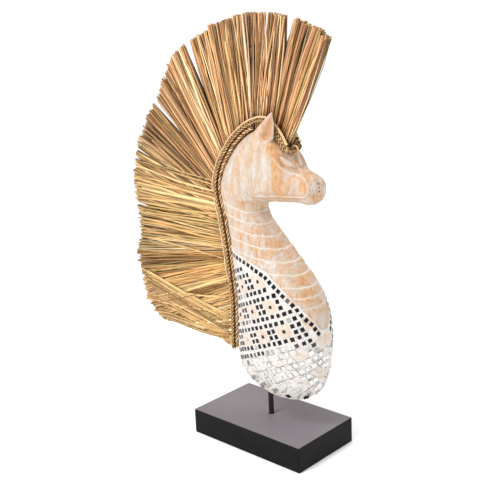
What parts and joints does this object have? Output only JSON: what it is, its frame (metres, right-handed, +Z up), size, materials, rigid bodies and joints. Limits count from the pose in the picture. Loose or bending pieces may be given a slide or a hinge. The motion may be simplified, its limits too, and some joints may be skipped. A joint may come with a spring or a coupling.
{
  "type": "horse bust figurine",
  "caption": "Carved and lime-washed wooden horse bust with a mirror mosaic body and a fanned dry-grass mane, held by a steel rod over a rectangular plinth.",
  "frame": {"origin": "middle of the plinth's underside, on the axis of the rod", "axes": "+Z up, +X the way the horse looks and along the plinth's long side, +Y the horse's left side"},
  "size_m": [0.3909, 0.1194, 0.6042],
  "materials": {
    "plinth_wood": "black stain with a satin sheen and faint grain",
    "rod_steel": "satin black paint",
    "limed_wood": "pale carved wood with a worn white lime wash, and mirror tiles in white grout on the body",
    "dry_grass": "dry straw stalks, light tan to brown, slightly glossy",
    "plaited_grass": "plaited dry grass cord, olive brown",
    "twisted_cord": "thin twisted grass cord, orange brown"
  },
  "bodies": {
    "root": {"plinth": "plinth_wood", "rod": "rod_steel", "carved_horse": "limed_wood", "grass_mane": "dry_grass", "braided_cord": "plaited_grass", "edge_cord_near": "twisted_cord", "edge_cord_far": "twisted_cord", "forehead_wrap": "twisted_cord"}
  },
  "joints": []
}
